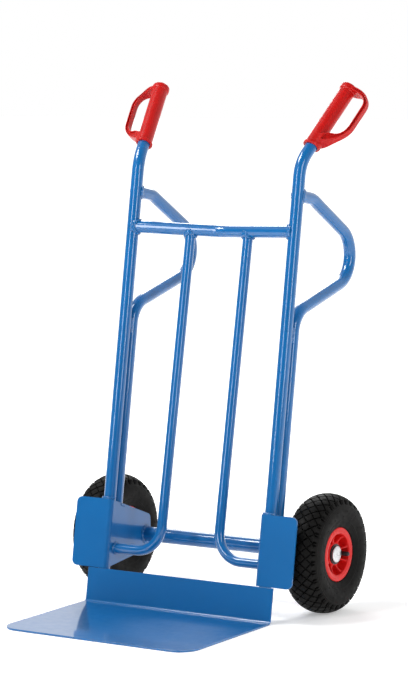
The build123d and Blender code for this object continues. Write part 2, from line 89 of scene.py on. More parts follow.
# ---- materials ----
PAINT_BLUE = (0.0012, 0.118, 0.345)
GRIP_RED = (0.46, 0.007, 0.006)
RIM_RED = (0.66, 0.010, 0.009)
RUBBER = (0.0030, 0.0029, 0.0028)
DUSTY_RUBBER = (0.0066, 0.0062, 0.0056)
GROOVE_PAINTED_SHADE = (0.0010, 0.0010, 0.0010)
BLACK = (0.009, 0.009, 0.010)
# Painted shade for the tread's grooves and notches, darker than the rubber itself.
WORN_BLACK = (0.014, 0.014, 0.015)
DULL_ZINC = (0.62, 0.63, 0.64)
BRIGHT_ZINC = (0.80, 0.81, 0.82)


def shader(name):
    """New material with its Principled node, node tree and object coordinates."""
    material = bpy.data.materials.new(name)
    material.use_nodes = True
    tree = material.node_tree
    principled = tree.nodes["Principled BSDF"]
    place = tree.nodes.new("ShaderNodeTexCoord").outputs["Object"]
    return material, tree, principled, place


def noise_node(tree, place, scale, detail=2.0, rough=0.5):
    """Value of a noise with this many waves to the metre."""
    node = tree.nodes.new("ShaderNodeTexNoise")
    node.inputs["Scale"].default_value = scale
    node.inputs["Detail"].default_value = detail
    node.inputs["Roughness"].default_value = rough
    tree.links.new(place, node.inputs["Vector"])
    return node.outputs["Fac"]


def ramp_node(tree, value, stops):
    """Colour ramp through (position, colour or grey) stops."""
    node = tree.nodes.new("ShaderNodeValToRGB")
    elements = node.color_ramp.elements
    while len(elements) < len(stops):
        elements.new(0.5)
    for element, (position, colour) in zip(elements, stops):
        element.position = position
        if isinstance(colour, (int, float)):
            colour = (colour, colour, colour)
        element.color = (*colour, 1)
    tree.links.new(value, node.inputs["Fac"])
    return node.outputs["Color"]


def vary(tree, value, low, high, socket):
    """Feeds a socket with a ramp from low to high over the middle of a noise value."""
    tree.links.new(ramp_node(tree, value, [(0.3, low), (0.7, high)]), socket)


def add_bump(tree, principled, layers):
    """Bump from (height output, distance in metres) layers, coarse first."""
    last = None
    for height, distance in layers:
        node = tree.nodes.new("ShaderNodeBump")
        node.inputs["Strength"].default_value = 1.0
        node.inputs["Distance"].default_value = distance
        tree.links.new(height, node.inputs["Height"])
        if last:
            tree.links.new(last, node.inputs["Normal"])
        last = node.outputs["Normal"]
    tree.links.new(last, principled.inputs["Normal"])


def tinted(colour, share):
    """The colour, brighter or darker by this share."""
    return tuple(channel * share for channel in colour)


def blue_paint(name, peel):
    """Glossy powder coat: even blue, faint cloudiness and a fine orange peel."""
    material, tree, principled, place = shader(name)
    cloud = noise_node(tree, place, 9.0, 3.0)
    vary(tree, cloud, tinted(PAINT_BLUE, 0.96), tinted(PAINT_BLUE, 1.04),
         principled.inputs["Base Color"])
    satin = noise_node(tree, place, 60.0, 3.0)
    vary(tree, satin, 0.34, 0.40, principled.inputs["Roughness"])
    principled.inputs["Specular IOR Level"].default_value = 0.2
    principled.inputs["Coat Weight"].default_value = 1.0
    principled.inputs["Coat Roughness"].default_value = 0.06
    principled.inputs["Coat IOR"].default_value = 1.5
    add_bump(tree, principled, [(noise_node(tree, place, 420.0, 1.0), peel * MM),
                                (noise_node(tree, place, 1500.0, 1.0), peel * 0.3 * MM)])
    return material


def red_plastic(name, red, rough):
    """Moulded plastic with a fine grain."""
    material, tree, principled, place = shader(name)
    cloud = noise_node(tree, place, 25.0, 3.0)
    vary(tree, cloud, tinted(red, 0.93), tinted(red, 1.05), principled.inputs["Base Color"])
    satin = noise_node(tree, place, 150.0, 3.0)
    vary(tree, satin, rough, rough + 0.08, principled.inputs["Roughness"])
    principled.inputs["Subsurface Weight"].default_value = 0.12
    principled.inputs["Subsurface Radius"].default_value = (0.004, 0.001, 0.0006)
    principled.inputs["Subsurface Scale"].default_value = 1.0
    principled.inputs["IOR"].default_value = 1.45
    principled.inputs["Specular IOR Level"].default_value = 0.3
    add_bump(tree, principled, [(noise_node(tree, place, 900.0, 1.0), 0.006 * MM)])
    return material


def tyre_rubber():
    """Black rubber with dust on the blocks, painted shade darkening the grooves and notches, and a
    moulding grain.
    """
    material, tree, principled, place = shader("tyre_rubber")
    cloud = noise_node(tree, place, 35.0, 4.0, 0.6)
    tops = ramp_node(tree, cloud, [(0.3, RUBBER), (0.72, DUSTY_RUBBER)])
    # Painted shade: where the relief is low, in the grooves and notches, the colour goes to
    # near-black.
    relief_shade_mask = tree.nodes.new("ShaderNodeAttribute")
    relief_shade_mask.attribute_name = "relief_shade_mask"
    mix = tree.nodes.new("ShaderNodeMix")
    mix.data_type = "RGBA"
    tree.links.new(relief_shade_mask.outputs["Fac"], mix.inputs["Factor"])
    mix.inputs["A"].default_value = (*GROOVE_PAINTED_SHADE, 1)
    tree.links.new(tops, mix.inputs["B"])
    tree.links.new(mix.outputs["Result"], principled.inputs["Base Color"])
    dry = noise_node(tree, place, 110.0, 3.0)
    vary(tree, dry, 0.50, 0.66, principled.inputs["Roughness"])
    principled.inputs["Specular IOR Level"].default_value = 0.11
    add_bump(tree, principled, [(noise_node(tree, place, 700.0, 3.0), 0.05 * MM)])
    return material


def plain_black(name, rough, grain):
    """Black moulded plastic or smooth rubber, its grain in millimetres."""
    material, tree, principled, place = shader(name)
    cloud = noise_node(tree, place, 90.0, 2.0)
    vary(tree, cloud, BLACK, WORN_BLACK, principled.inputs["Base Color"])
    vary(tree, cloud, rough, rough + 0.1, principled.inputs["Roughness"])
    add_bump(tree, principled, [(noise_node(tree, place, 1200.0, 2.0), grain * MM)])
    return material


def zinc_plate():
    """Bright zinc-plated steel with a cloudy bloom and fine scratches."""
    material, tree, principled, place = shader("zinc_plate")
    principled.inputs["Metallic"].default_value = 1.0
    cloud = noise_node(tree, place, 180.0, 4.0, 0.6)
    vary(tree, cloud, DULL_ZINC, BRIGHT_ZINC, principled.inputs["Base Color"])
    vary(tree, cloud, 0.24, 0.42, principled.inputs["Roughness"])
    stretch = tree.nodes.new("ShaderNodeMapping")
    stretch.inputs["Scale"].default_value = (1.0, 1.0, 12.0)
    tree.links.new(place, stretch.inputs["Vector"])
    scratch = noise_node(tree, stretch.outputs["Vector"], 400.0, 3.0)
    add_bump(tree, principled, [(scratch, 0.015 * MM)])
    return material


BLUE = blue_paint("blue_powder_coat", 0.035)
WELD_BLUE = blue_paint("blue_powder_coat_on_weld", 0.09)
RED_GRIP = red_plastic("red_grip_plastic", GRIP_RED, 0.30)
RED_RIM = red_plastic("red_rim_plastic", RIM_RED, 0.30)
TYRE = tyre_rubber()
BLACK_PLASTIC = plain_black("black_plastic", 0.32, 0.02)
BLACK_RUBBER = plain_black("black_valve_rubber", 0.5, 0.03)
ZINC = zinc_plate()


# ---- mesh helpers ----
def new_piece(name, vertices, faces, material, body, slot, *nodes):
    """A smooth-shaded piece from points in metres that rides on a body and replaces CAD nodes."""
    mesh = bpy.data.meshes.new(name)
    mesh.from_pydata([tuple(v) for v in vertices], [], faces)
    mesh.validate()
    piece = bpy.data.objects.new(name, mesh)
    bpy.context.scene.collection.objects.link(piece)
    return dressed(piece, material, body, slot, *nodes)


def dressed(piece, material, body, slot, *nodes):
    """Material, smooth shading, body and the CAD nodes that the piece stands for; the slot is not
    used.
    """
    piece.data.materials.clear()
    piece.data.materials.append(material)
    piece.data.polygons.foreach_set("use_smooth", [True] * len(piece.data.polygons))
    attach(piece, body)
    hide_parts(*nodes)
    return piece


def apply_modifiers(piece):
    """Puts the modifiers' result in place of the mesh."""
    bpy.context.view_layer.update()
    graph = bpy.context.evaluated_depsgraph_get()
    done = bpy.data.meshes.new_from_object(piece.evaluated_get(graph))
    piece.modifiers.clear()
    piece.data = done


def edit_mesh(piece, edit):
    """Runs one edit on the cells of a piece's mesh."""
    cells = bmesh.new()
    cells.from_mesh(piece.data)
    edit(cells)
    cells.to_mesh(piece.data)
    cells.free()


def cad_copy(node, name):
    """New piece with a copy of a CAD node's mesh, its shared vertices joined."""
    piece = bpy.data.objects.new(name, frame["nodes"][node].data.copy())
    bpy.context.scene.collection.objects.link(piece)
    edit_mesh(piece, lambda cells: bmesh.ops.remove_doubles(cells, verts=cells.verts,
                                                            dist=0.01 * MM))
    return piece


def placed(points, sign, centre):
    """Points in metres about a wheel's centre, mirrored in X for the left-hand side."""
    return points * np.array([sign, 1, 1]) + np.array(centre)


def turned(profile, segments, origin):
    """Points and faces of a lathe shape about the X axis, from (radius, x) points in millimetres."""
    angle = np.linspace(0, 2 * math.pi, segments, endpoint=False)
    points = []
    for radius, x in profile:
        ring = np.stack([np.full(segments, x), radius * np.cos(angle), radius * np.sin(angle)], 1)
        points.append(ring * MM + np.array(origin))
    faces = []
    for row in range(len(profile) - 1):
        for k in range(segments):
            after = (k + 1) % segments
            faces.append((row * segments + k, row * segments + after,
                          (row + 1) * segments + after, (row + 1) * segments + k))
    return np.concatenate(points), faces


def smooth_min(a, b, reach):
    """Union of two distances, rounded over this reach."""
    h = np.clip(0.5 + 0.5 * (b - a) / reach, 0, 1)
    return b + (a - b) * h - reach * h * (1 - h)


def smooth_max(a, b, reach):
    """Overlap of two distances, rounded over this reach."""
    return -smooth_min(-a, -b, reach)


def onto_surface(distance, points, step, rounds):
    """Points moved along the slope of the distance until they lie on its zero surface."""
    nudge = step * 0.05
    for _ in range(rounds):
        slope = np.stack([distance(points + nudge * e) - distance(points - nudge * e)
                          for e in np.eye(3)], 1) / (2 * nudge)
        length = np.maximum((slope ** 2).sum(1), 0.05)
        move = -slope * (distance(points) / length)[:, None]
        size = np.maximum(np.linalg.norm(move, axis=1), 1e-9)
        points = points + move * np.minimum(1, step * 0.6 / size)[:, None]
    return points


def moulded(distance, low, high, step):
    """Points and quads of the surface distance(points) = 0, in the same units as its points."""
    low = np.array(low, float)
    counts = [int(math.ceil((h - l) / step)) + 1 for l, h in zip(low, high)]
    axes = [l + step * np.arange(count) for l, count in zip(low, counts)]
    inside = np.empty(counts, bool)
    y, z = np.meshgrid(axes[1], axes[2], indexing="ij")
    for i, x in enumerate(axes[0]):
        layer = np.stack([np.full(y.shape, x), y, z], -1).reshape(-1, 3)
        inside[i] = (distance(layer) < 0).reshape(y.shape)
    total = np.zeros([count - 1 for count in counts], np.int8)
    for corner in itertools.product((0, 1), repeat=3):
        total += inside[tuple(slice(c, c + n - 1) for c, n in zip(corner, counts))]
    mixed = (total > 0) & (total < 8)
    number = np.full(mixed.shape, -1)
    number[mixed] = np.arange(mixed.sum())
    points = low + step * (np.argwhere(mixed) + 0.5)
    quads = []
    for axis in range(3):
        u, v = np.eye(3, dtype=int)[(axis + 1) % 3], np.eye(3, dtype=int)[(axis + 2) % 3]
        start = [slice(None)] * 3
        end = [slice(None)] * 3
        start[axis], end[axis] = slice(0, -1), slice(1, None)
        first, last = inside[tuple(start)], inside[tuple(end)]
        for crossing, order in ((first & ~last, 1), (~first & last, -1)):
            cell = np.argwhere(crossing)
            ring = [cell - u - v, cell - v, cell, cell - u]
            quad = np.stack([number[tuple(c.T)] for c in ring], 1)
            quads.append(quad[:, ::order])
    quads = np.concatenate(quads)
    links = np.concatenate([quads[:, [k, (k + 1) % 4]] for k in range(4)])
    share = np.bincount(links[:, 0], minlength=len(points))[:, None]
    points = onto_surface(distance, points, step, 5)
    for _ in range(3):
        middle = np.stack([np.bincount(links[:, 0], points[links[:, 1], k], len(points))
                           for k in range(3)], 1) / np.maximum(share, 1)
        points = onto_surface(distance, points + 0.5 * (middle - points), step, 2)
    return points, quads.tolist()


# ---- wheels ----
tyre_low, tyre_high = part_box("tyre_right")
rim_low, rim_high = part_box("rim_right")
wheel_centre = {joint["child"]: Vector(joint["pos_m"]) for joint in frame["joints"]}
TYRE_R = (tyre_high.z - tyre_low.z) / 2 / MM
BLOCKS = 35                      # tread blocks round the tyre
HALF_ROWS = 3                    # half blocks from the crown to the shoulder's edge
BLOCK_WIDTH = 24.6               # across one diamond of the tread, in millimetres
TREAD_HALF = BLOCK_WIDTH * HALF_ROWS / 2
GROOVE_DEPTH = 3.6
GROOVE_HALF = 1.3
GROOVE_SIDE = 0.9                # width of the slope from a groove to a block's top
TIE_SHARE = 0.55                 # of the groove's depth, filled by the low bar in its middle
STEPS = [0, 0.05, 0.1, 0.16, 0.27, 0.4, 0.5, 0.6, 0.73, 0.84, 0.9, 0.95, 1]
NOTCH_DEPTH = 4.6
NOTCH_PHASE = 0.16               # middle of each notch, in blocks from the diamond's tip
NOTCH_ROWS = 12                  # mesh rows down the side of the lugs

# Half section as (x, radius) in millimetres, with radii as distances in from the crown.
TREAD_LINE = [(0, 0), (8, 0.5), (16, 2.0), (24, 4.9), (30, 8.2), (34.2, 11.4)]
LUG_LINE = [(34.2, 11.4), (36.0, 13.4), (37.6, 16.6), (38.9, 20.2), (39.6, 23)]
SIDE_LINE = [(39.6, 23), (40.6, 26.5), (41.7, 31), (42.4, 36.5), (42.3, 42), (41.4, 48.5),
             (39.4, 56), (37.2, 62.5), (35.4, 67), (34.2, 69.6), (32.4, 70.9), (30.9, 71.6)]
INNER_LINE = [(30.8, 73), (30.8, 79), (20, 79), (20, 74), (26, 69), (31, 62), (34.5, 49), (35, 34),
              (32, 22.5), (24, 14), (11, 9.4), (0, 9)]
# Moulded rings on the side wall: distance in from the crown, height and width.
SIDE_RINGS = ((25.0, 0.6, 0.8), (28.4, 0.35, 0.8), (56.0, 0.55, 0.8), (59.5, 0.45, 0.8))

# Rings of nubs on the side wall: distance in from the crown, count and shift as a share of a gap.
NUB_RINGS = ((35.0, 15, 0.2), (47.0, 15, 0.55))
NUB_LAYERS = ((1.5, -0.6), (1.15, 0.5), (0.7, 0.95))    # radius and height off the wall
NUB_SIDES = 10


def curve_through(points, count):
    """Points at even spacing along a smooth curve through the given ones."""
    points = np.array(points, float)
    padded = np.vstack([2 * points[0] - points[1], points, 2 * points[-1] - points[-2]])
    t = np.linspace(0, 1, 24, endpoint=False)[:, None]
    fine = []
    for a, b, c, d in zip(padded, padded[1:], padded[2:], padded[3:]):
        fine.append(0.5 * (2 * b + (c - a) * t + (2 * a - 5 * b + 4 * c - d) * t ** 2
                           + (3 * b - a - 3 * c + d) * t ** 3))
    fine = np.vstack(fine + [points[-1:]])
    length = np.concatenate([[0], np.cumsum(np.linalg.norm(np.diff(fine, axis=0), axis=1))])
    even = np.linspace(0, length[-1], count)
    return np.stack([np.interp(even, length, fine[:, k]) for k in (0, 1)], 1)


def outward_from(line):
    """The x and radius parts of the normal along a half section."""
    slope = np.gradient(line, axis=0)
    normal = np.stack([slope[:, 1], slope[:, 0]], 1)
    return normal / np.linalg.norm(normal, axis=1)[:, None]


def eased(value):
    """Smooth step from 0 to 1."""
    value = min(max(value, 0), 1)
    return value * value * (3 - 2 * value)


def tyre_mesh():
    """Carcass with a diamond tread, notched shoulders, moulded rings and an open inside."""
    tread = curve_through(TREAD_LINE, 240)
    outward = outward_from(tread)
    reach = np.linspace(0, TREAD_HALF, len(tread))
    line_gap = 1 / math.hypot(1 / (2 * math.pi * TYRE_R / BLOCKS), 1 / BLOCK_WIDTH)
    points, relief_shade_mask, faces, number = [], [], [], {}

    def add_point(x, down, turn, raised):
        radius, angle = TYRE_R - down, 2 * math.pi * turn / BLOCKS
        points.append((x, radius * math.cos(angle), radius * math.sin(angle)))
        relief_shade_mask.append(raised)
        return len(points) - 1

    def tread_point(u, v):
        around, across = (u + v) / 2, (u - v) / 2 * BLOCK_WIDTH
        key = (round(around * 4000) % (BLOCKS * 4000), round(across * 400))
        if key in number:
            return number[key]
        side = abs(across)
        near, along = sorted(((min(u % 1, -u % 1), v % 1), (min(v % 1, -v % 1), u % 1)))[0]
        # How far the point stands out of its groove; the low points get painted shade in the rubber's
        # colour.
        raised = eased((near * line_gap - GROOVE_HALF + GROOVE_SIDE / 2) / GROOVE_SIDE)
        tie = eased(1 - (abs(along - 0.5) - 0.02) / 0.08)
        depth = GROOVE_DEPTH * (1 - raised) * (1 - TIE_SHARE * tie)
        x = np.interp(side, reach, tread[:, 0]) - depth * np.interp(side, reach, outward[:, 0])
        down = np.interp(side, reach, tread[:, 1]) + depth * np.interp(side, reach, outward[:, 1])
        number[key] = add_point(math.copysign(x, across), down, around, raised)
        return number[key]

    last = len(STEPS) - 1
    for block in range(BLOCKS):
        for row in range(-HALF_ROWS, HALF_ROWS + 1):
            m = block + (row + HALF_ROWS) // 2
            n = m - row
            for i, j in itertools.product(range(last), repeat=2):
                if (row == HALF_ROWS and i > j) or (row == -HALF_ROWS and j > i):
                    continue
                corners = [(i, j), (i + 1, j), (i + 1, j + 1), (i, j + 1)]
                if row == HALF_ROWS and i == j:
                    corners = [(i, j), (i + 1, j + 1), (i, j + 1)]
                if row == -HALF_ROWS and i == j:
                    corners = [(i, j), (i + 1, j), (i + 1, j + 1)]
                faces.append([tread_point(m + STEPS[a], n + STEPS[b]) for a, b in corners])

    lugs = curve_through(LUG_LINE, NOTCH_ROWS + 1)[1:]
    lug_out = outward_from(lugs)
    side_wall = curve_through(SIDE_LINE, 52)[1:]
    ridge = sum(height * np.exp(-((side_wall[:, 1] - depth) / width) ** 2)
                for depth, height, width in SIDE_RINGS)
    side_wall = side_wall + outward_from(side_wall) * np.array([1, -1]) * ridge[:, None]
    section = np.vstack([side_wall, np.array(INNER_LINE)])
    turns = [block + HALF_ROWS / 2 + t for block in range(BLOCKS) for t in STEPS[:-1]]

    def stitch(ring, fresh):
        for a in range(len(turns)):
            b = (a + 1) % len(turns)
            faces.append([ring[a], ring[b], fresh[b], fresh[a]])
        return fresh

    crown_ring = []
    for side in (1, -1):
        ring = [tread_point(turn + side * HALF_ROWS / 2, turn - side * HALF_ROWS / 2)
                for turn in turns]
        for k, (x, down) in enumerate(lugs):
            share = (k + 1) / NOTCH_ROWS
            fresh = []
            for turn in turns:
                phase = (turn - HALF_ROWS / 2) % 1
                edge = min(phase, 1 - phase)
                # A wide lug, a notch, then a narrow lug in line with the diamond's tip.
                half = 0.085 * (1 - 0.55 * share)
                raised = eased((abs(edge - NOTCH_PHASE) - half) / 0.05)
                scoop = 0.9 * (edge > NOTCH_PHASE) * eased(share / 0.3)
                depth = (NOTCH_DEPTH * (1 - raised) + scoop) * eased((1 - share) / 0.45)
                # The notch's low points also get painted shade in the rubber's colour.
                fresh.append(add_point(side * (x - depth * lug_out[k, 0]),
                                       down + depth * lug_out[k, 1], turn,
                                       1 - (1 - raised) * eased((1 - share) / 0.3)))
            ring = stitch(ring, fresh)
        for k, (x, down) in enumerate(section):
            if k == len(section) - 1 and side == -1:
                fresh = crown_ring
            else:
                fresh = [add_point(x * side, down, turn, 1) for turn in turns]
            ring = stitch(ring, fresh)
        crown_ring = ring
    return points, relief_shade_mask, faces


def add_nubs(points, faces):
    """Small moulding nubs in two rings on each side wall."""
    wall = curve_through(SIDE_LINE, 200)
    for side in (1, -1):
        for down, count, shift in NUB_RINGS:
            x = np.interp(down, wall[:, 1], wall[:, 0])
            for k in range(count):
                angle = 2 * math.pi * (k + shift) / count
                radius = TYRE_R - down
                centre = Vector((side * x, radius * math.cos(angle), radius * math.sin(angle)))
                along = Vector((0, -math.sin(angle), math.cos(angle)))
                out = Vector((side, 0, 0))
                wide = along.cross(out)
                first = len(points)
                for size, height in NUB_LAYERS:
                    for turn in np.linspace(0, 2 * math.pi, NUB_SIDES, endpoint=False):
                        spot = (centre + (along * math.cos(turn) + wide * math.sin(turn)) * size
                                + out * height)
                        points.append(tuple(spot))
                for ring in range(first, first + 2 * NUB_SIDES, NUB_SIDES):
                    for a in range(NUB_SIDES):
                        b = (a + 1) % NUB_SIDES
                        faces.append([ring + a, ring + b, ring + NUB_SIDES + b, ring + NUB_SIDES + a])
                faces.append([first + 2 * NUB_SIDES + a for a in range(NUB_SIDES)])
                faces.append([first + a for a in reversed(range(NUB_SIDES))])


def make_tyres():
    """Tyres with the tread's relief stored as the mask for the painted shade in the grooves and
    notches.
    """
    points, relief_shade_mask, faces = tyre_mesh()
    add_nubs(points, faces)
    relief_shade_mask += [1] * (len(points) - len(relief_shade_mask))
    points = np.array(points) * MM
    for side, sign in SIDES.items():
        tyre = new_piece(f"tread_tyre_{side}", placed(points, sign, wheel_centre[f"{side}_wheel"]),
                         faces, TYRE, f"{side}_wheel", "tyre_rubber", f"tyre_{side}")
        edit_mesh(tyre, lambda cells: bmesh.ops.recalc_face_normals(cells, faces=cells.faces))
        shade = tyre.data.attributes.new("relief_shade_mask", "FLOAT", "POINT")
        shade.data.foreach_set("value", relief_shade_mask)
        tyre.data.set_sharp_from_angle(angle=math.radians(40))


FLANGE_R = (rim_high.z - rim_low.z) / 2 / MM
OPEN_R = FLANGE_R - 14.0
HUB_R = 24.5
WELL_R = 48.0
RIM_HALF = (rim_high.x - wheel_centre["right_wheel"].x) / MM
RIM_ROUND = 1.3                  # radius of the barrel section's corners
WEB_X, WEB_HALF = 3.0, 6.0
HUB_X, HUB_HALF = -12.0, 35.0
BORE_R = 15.0
RIBS = 9
RIB_PHASE = math.radians(92.5)   # round the axle, from the rear horizontal
RIB_HALF = 1.75
VALVE_ANGLE = math.radians(-6.0)
VALVE_X = 12.0
VALVE_HOLE_R = 4.2
VALVE_HOLE_FROM = 35.0           # the hole starts this far from the axle line


def section_distance(r, x, corners):
    """Signed distance to a closed outline in the plane of radius and x."""
    best = np.full(r.shape, 1e9)
    odd = np.zeros(r.shape, bool)
    for (r0, x0), (r1, x1) in zip(corners, corners[1:] + corners[:1]):
        dr, dx = r1 - r0, x1 - x0
        t = np.clip(((r - r0) * dr + (x - x0) * dx) / (dr * dr + dx * dx), 0, 1)
        best = np.minimum(best, np.hypot(r - r0 - t * dr, x - x0 - t * dx))
        if dx:
            crossed = ((x0 > x) != (x1 > x)) & (r < dr * (x - x0) / dx + r0)
            odd ^= crossed
    return np.where(odd, -best, best)


def rim_distance(points):
    """Barrel with convex flanges, middle web, hub and flared ribs, in millimetres from the middle."""
    x = points[:, 0]
    r = np.hypot(points[:, 1], points[:, 2])
    angle = np.arctan2(points[:, 2], points[:, 1])
    half = [(OPEN_R + RIM_ROUND, RIM_HALF - 2.6), (OPEN_R + 7, RIM_HALF - RIM_ROUND),
            (FLANGE_R - RIM_ROUND, RIM_HALF - 2.4), (FLANGE_R - RIM_ROUND, 32.2), (52.2, 32.2),
            (51 - RIM_ROUND, 20), (WELL_R - RIM_ROUND, 17)]
    barrel = section_distance(r, x, half + [(a, -b) for a, b in reversed(half)]) - RIM_ROUND
    web = smooth_max(np.abs(x - WEB_X) - WEB_HALF, r - OPEN_R - 1, 1)
    hub = smooth_max(r - HUB_R, np.abs(x - HUB_X) - HUB_HALF, 1.5)
    fold = (angle - RIB_PHASE + math.pi / RIBS) % (2 * math.pi / RIBS) - math.pi / RIBS
    out, over = r * np.cos(fold), r * np.sin(fold)
    flare = RIB_HALF + 4.4 * np.exp(-np.maximum(out - HUB_R, 0) / 3.4)
    flare += 1.6 * np.exp(-np.maximum(OPEN_R - out, 0) / 2.2)
    rise = 20.6 + 10.2 * np.clip((out - 27.5) / 17.5, 0, 1) ** 2
    rib = smooth_max(np.abs(over) - flare, np.abs(x) - rise, 1.8)
    rib = smooth_max(rib, r - OPEN_R - 1.5, 0.5)
    shape = smooth_min(smooth_min(barrel, web, 2.5), smooth_min(hub, rib, 2.5), 2.5)
    shape = smooth_max(shape, BORE_R - r, 0.6)
    across = points[:, 1] * -math.sin(VALVE_ANGLE) + points[:, 2] * math.cos(VALVE_ANGLE)
    along = points[:, 1] * math.cos(VALVE_ANGLE) + points[:, 2] * math.sin(VALVE_ANGLE)
    hole = np.maximum(np.hypot(across, x - VALVE_X) - VALVE_HOLE_R, VALVE_HOLE_FROM - along)
    return smooth_max(shape, -hole, 0.6)


def make_rims():
    """One-piece plastic rims."""
    step = 1.25
    points, faces = moulded(rim_distance, (-49, -61, -61), (37, 61, 61), step)
    points = points * MM
    for side, sign in SIDES.items():
        new_piece(f"ribbed_rim_{side}", placed(points, sign, wheel_centre[f"{side}_wheel"]),
                  [face[::sign] for face in faces], RED_RIM, f"{side}_wheel", "red_plastic",
                  f"rim_{side}")


make_tyres()
make_rims()


# ---- axle caps and valve caps ----
def make_axle_caps():
    """Pushed-on zinc caps with a rolled edge, a raised ring and a centre dimple."""
    low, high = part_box("axle_cap_right")
    radius = (high.z - low.z) / 2 / MM
    depth = (high.x - low.x) / MM
    profile = [(9.0, 0), (radius - 0.6, 0), (radius, 0.5), (radius, 2.0), (radius - 0.5, 2.8),
               (radius - 1.6, 3.4), (radius - 3.0, 3.7), (radius - 4.4, 4.1), (9.5, depth - 0.5),
               (7.6, depth - 0.3), (7.0, depth), (5.6, depth), (5.0, depth - 0.4), (2.2, depth - 0.4),
               (1.6, depth - 1.4), (0.4, depth - 1.9), (0.01, depth - 1.9)]
    for side, sign in SIDES.items():
        origin = wheel_centre[f"{side}_wheel"].copy()
        origin.x = low.x * sign
        points, faces = turned([(r, x * sign) for r, x in profile], 72, origin)
        cap = new_piece(f"axle_end_cap_{side}", points, [f[::sign] for f in faces], ZINC, "frame",
                        "zinc_cap", f"axle_cap_{side}")
        soft = cap.modifiers.new("soft", "SUBSURF")
        soft.levels = soft.render_levels = 1
        apply_modifiers(cap)


def make_valve_caps():
    """Fluted black dust caps."""
    low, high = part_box("valve_cap_right")
    radius = (high.z - low.z) / 2 / MM
    length = (high.x - low.x) / MM
    profile = [(3.4, 0), (radius - 0.3, 0), (radius, 0.5), (radius, length - 3.2),
               (radius - 0.5, length - 2.2), (radius - 1.3, length - 1.0),
               (radius - 2.4, length - 0.2), (radius - 3.6, length), (0.02, length)]
    flutes, flute_depth = 16, 0.09
    for side, sign in SIDES.items():
        origin = Vector((low.x * sign, (low.y + high.y) / 2, (low.z + high.z) / 2))
        points, faces = turned([(r, x * sign) for r, x in profile], flutes * 6, (0, 0, 0))
        turn = np.arctan2(points[:, 2], points[:, 1])
        grip = np.hypot(points[:, 1], points[:, 2]) > (radius - 0.2) * MM
        share = 1 - flute_depth * grip * (0.5 + 0.5 * np.cos(turn * flutes))
        points = points * np.stack([np.ones_like(share), share, share], 1) + np.array(origin)
        new_piece(f"fluted_valve_cap_{side}", points, [f[::sign] for f in faces], BLACK_PLASTIC,
                  f"{side}_wheel", "black_plastic", f"valve_cap_{side}")


make_axle_caps()
make_valve_caps()


# ---- grips ----
# The frame leans back 10 degrees, and the handles tip back and splay outwards from it.
LEAN = math.radians(10.0)
TIP_BACK = math.radians(33.4)
SPLAY = math.radians(9.8)
GUARD_TILT = math.radians(7.0)
GRIP_LENGTH = 170.0
SLEEVE_R = 17.2
COLLAR_R = 19.6
TUBE_R = 13.5
TUBE_DEPTH = 163.0               # length of tube inside the grip
CAP_MIDDLE, CAP_HALF = 166.0, 6.8
COLLAR_MIDDLE, COLLAR_HALF = 3.4, 4.2
COLLAR_SLANT = 0.2
GUARD_REACH = 61.85              # middle of the guard's outer run, from the sleeve's axis
GUARD_THICK = 9.3
GUARD_HALF_W = 6.9
ARM_HALF_W = 15.6                # half width of the guard's arms at the sleeve
CHANNEL_WALL = 2.5
CHANNEL_DEPTH = 4.6
CHANNEL_FROM = 20.0              # the channel starts this far out from the sleeve's axis
# Corners of the guard's middle line, as distances out and along, and the radii of its two bends.
GUARD_CORNERS = [(0, 12.5), (GUARD_REACH, 47.0), (GUARD_REACH, 160.5), (0, 165.0)]
GUARD_BENDS = (47.5, 35.5)


def grip_axes():
    """Foot of the right-hand grip and its directions: outwards to the guard, behind and along."""
    along = Vector((math.sin(SPLAY), math.cos(SPLAY) * math.sin(LEAN + TIP_BACK),
                    math.cos(SPLAY) * math.cos(LEAN + TIP_BACK)))
    across = (Vector((1, 0, 0)) - along * along.x).normalized()
    behind = across.cross(along).normalized()
    if behind.y < 0:
        behind.negate()
    guard = across * math.cos(GUARD_TILT) + behind * math.sin(GUARD_TILT)
    # The side tube's top rim is square to the grip, so its highest point fixes the tube's end.
    low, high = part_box("side_tube_right")
    end_z = high.z - TUBE_R * MM * math.hypot(along.x, along.y)
    end_y = high.y - TUBE_R * MM * math.hypot(along.x, along.z)
    end_x = high.x - TUBE_R * MM * math.hypot(along.y, along.z)
    foot = Vector((end_x, end_y, end_z)) - along * TUBE_DEPTH * MM
    return foot, guard, along.cross(guard), along


def guard_route():
    """Middle line of the guard on its own plane: out from the sleeve, up and back in."""
    corners = [np.array(corner, float) for corner in GUARD_CORNERS]
    route = [corners[0]]
    for before, corner, after, radius in zip(corners, corners[1:], corners[2:], GUARD_BENDS):
        back = (before - corner) / np.linalg.norm(before - corner)
        ahead = (after - corner) / np.linalg.norm(after - corner)
        half = math.acos(back @ ahead) / 2
        centre = corner + (back + ahead) / np.linalg.norm(back + ahead) * radius / math.sin(half)
        first = corner + back * radius / math.tan(half) - centre
        last = corner + ahead * radius / math.tan(half) - centre
        turn = math.pi - 2 * half
        for t in np.linspace(0, 1, 13):
            route.append(centre + (first * math.sin((1 - t) * turn) + last * math.sin(t * turn))
                         / math.sin(turn))
    route.append(corners[-1])
    return route


